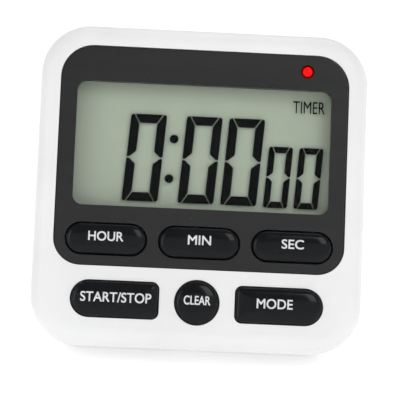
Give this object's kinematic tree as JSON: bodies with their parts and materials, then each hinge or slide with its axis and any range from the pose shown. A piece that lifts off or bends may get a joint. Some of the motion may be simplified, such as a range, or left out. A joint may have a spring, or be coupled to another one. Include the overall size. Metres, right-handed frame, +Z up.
{
  "type": "digital kitchen timer",
  "caption": "Digital kitchen timer with display, push buttons, alarm lamp, magnets, keyhole and a fold-out stand, standing and leaning back.",
  "frame": {"origin": "on the table, under the middle of the whole object as it stands on its open stand", "axes": "+Z up, the display faces -Y and leans back by 20 degrees, +X to the right as seen from the front"},
  "size_m": [0.08, 0.044, 0.0784],
  "materials": {
    "white_plastic": "satin moulded",
    "black_plastic": "smooth moulded",
    "button_plastic": "glossy moulded",
    "clear_plastic": "clear polished",
    "display_glass": "polished",
    "display_film": "grey-green film",
    "tape": "foam tape",
    "elastomer": "silicone",
    "mat_rubber": "silicone",
    "board": "solder mask",
    "component": "moulded epoxy",
    "ceramic": "sintered",
    "steel": "nickel plated",
    "brass": "rolled sheet",
    "red_resin": "tinted resin",
    "red_wire": "vinyl",
    "black_wire": "vinyl",
    "cell_jacket": "printed jacket",
    "magnet": "sintered ferrite"
  },
  "bodies": {
    "timer_body": {"front_case": "white_plastic", "rear_case": "white_plastic", "case_screws": "steel", "face_panel": "black_plastic", "key_mat": "mat_rubber", "display_lens": "clear_plastic", "lens_tape": "tape", "lcd_front_polariser": "display_film", "lcd_front_glass": "display_glass", "lcd_rear_glass": "display_glass", "lcd_rear_polariser": "display_film", "zebra_strip": "elastomer", "lcd_holder": "white_plastic", "circuit_board": "board", "board_screws": "steel", "alarm_led": "red_resin", "led_leads": "steel", "chip_blob": "component", "crystal_can": "steel", "smd_resistors": "component", "smd_capacitors": "ceramic", "electrolytic_capacitor": "component", "drive_transistor": "component", "buzzer_inductor": "component", "piezo_plate": "brass", "piezo_ceramic": "ceramic", "buzzer_wire_red": "red_wire", "buzzer_wire_black": "black_wire", "battery_cell_1": "cell_jacket", "battery_cell_2": "cell_jacket", "positive_contact": "steel", "negative_contact_spring": "steel", "bridge_contact": "steel", "magnet_left": "magnet", "magnet_right": "magnet", "alarm_switch_body": "component"},
    "hour_button": {"hour_button": "button_plastic", "hour_contact_pill": "mat_rubber"},
    "minute_button": {"minute_button": "button_plastic", "minute_contact_pill": "mat_rubber"},
    "second_button": {"second_button": "button_plastic", "second_contact_pill": "mat_rubber"},
    "start_stop_button": {"start_stop_button": "button_plastic", "start_stop_contact_pill": "mat_rubber"},
    "clear_button": {"clear_button": "button_plastic", "clear_contact_pill": "mat_rubber"},
    "mode_button": {"mode_button": "button_plastic", "mode_contact_pill": "mat_rubber"},
    "kickstand": {"kickstand": "white_plastic"},
    "battery_door": {"battery_door": "white_plastic"},
    "alarm_switch_knob": {"alarm_switch_knob": "button_plastic"}
  },
  "joints": [
    {"name": "hour_press", "type": "slide", "parent": "timer_body", "child": "hour_button", "axis": [0, 0.9397, -0.342], "range_m": [0, 0.001], "stiffness_N_per_m": 600, "springref_m": -0.0005, "deforming": ["key_mat"]},
    {"name": "minute_press", "type": "slide", "parent": "timer_body", "child": "minute_button", "axis": [0, 0.9397, -0.342], "range_m": [0, 0.001], "stiffness_N_per_m": 600, "springref_m": -0.0005, "deforming": ["key_mat"]},
    {"name": "second_press", "type": "slide", "parent": "timer_body", "child": "second_button", "axis": [0, 0.9397, -0.342], "range_m": [0, 0.001], "stiffness_N_per_m": 600, "springref_m": -0.0005, "deforming": ["key_mat"]},
    {"name": "start_stop_press", "type": "slide", "parent": "timer_body", "child": "start_stop_button", "axis": [0, 0.9397, -0.342], "range_m": [0, 0.001], "stiffness_N_per_m": 600, "springref_m": -0.0005, "deforming": ["key_mat"]},
    {"name": "clear_press", "type": "slide", "parent": "timer_body", "child": "clear_button", "axis": [0, 0.9397, -0.342], "range_m": [0, 0.001], "stiffness_N_per_m": 600, "springref_m": -0.0005, "deforming": ["key_mat"]},
    {"name": "mode_press", "type": "slide", "parent": "timer_body", "child": "mode_button", "axis": [0, 0.9397, -0.342], "range_m": [0, 0.001], "stiffness_N_per_m": 600, "springref_m": -0.0005, "deforming": ["key_mat"]},
    {"name": "stand_hinge", "type": "hinge", "parent": "timer_body", "child": "kickstand", "pos_m": [0, 0.0106, 0.04395], "axis": [1, 0, 0], "range_deg": [-32, 0]},
    {"name": "door_hinge", "type": "hinge", "parent": "timer_body", "child": "battery_door", "pos_m": [0, -0.00126, 0.00889], "axis": [-1, 0, 0], "range_deg": [0, 75]},
    {"name": "alarm_switch_slide", "type": "slide", "parent": "timer_body", "child": "alarm_switch_knob", "axis": [0, 0.342, 0.9397], "range_m": [0, 0.002]}
  ]
}
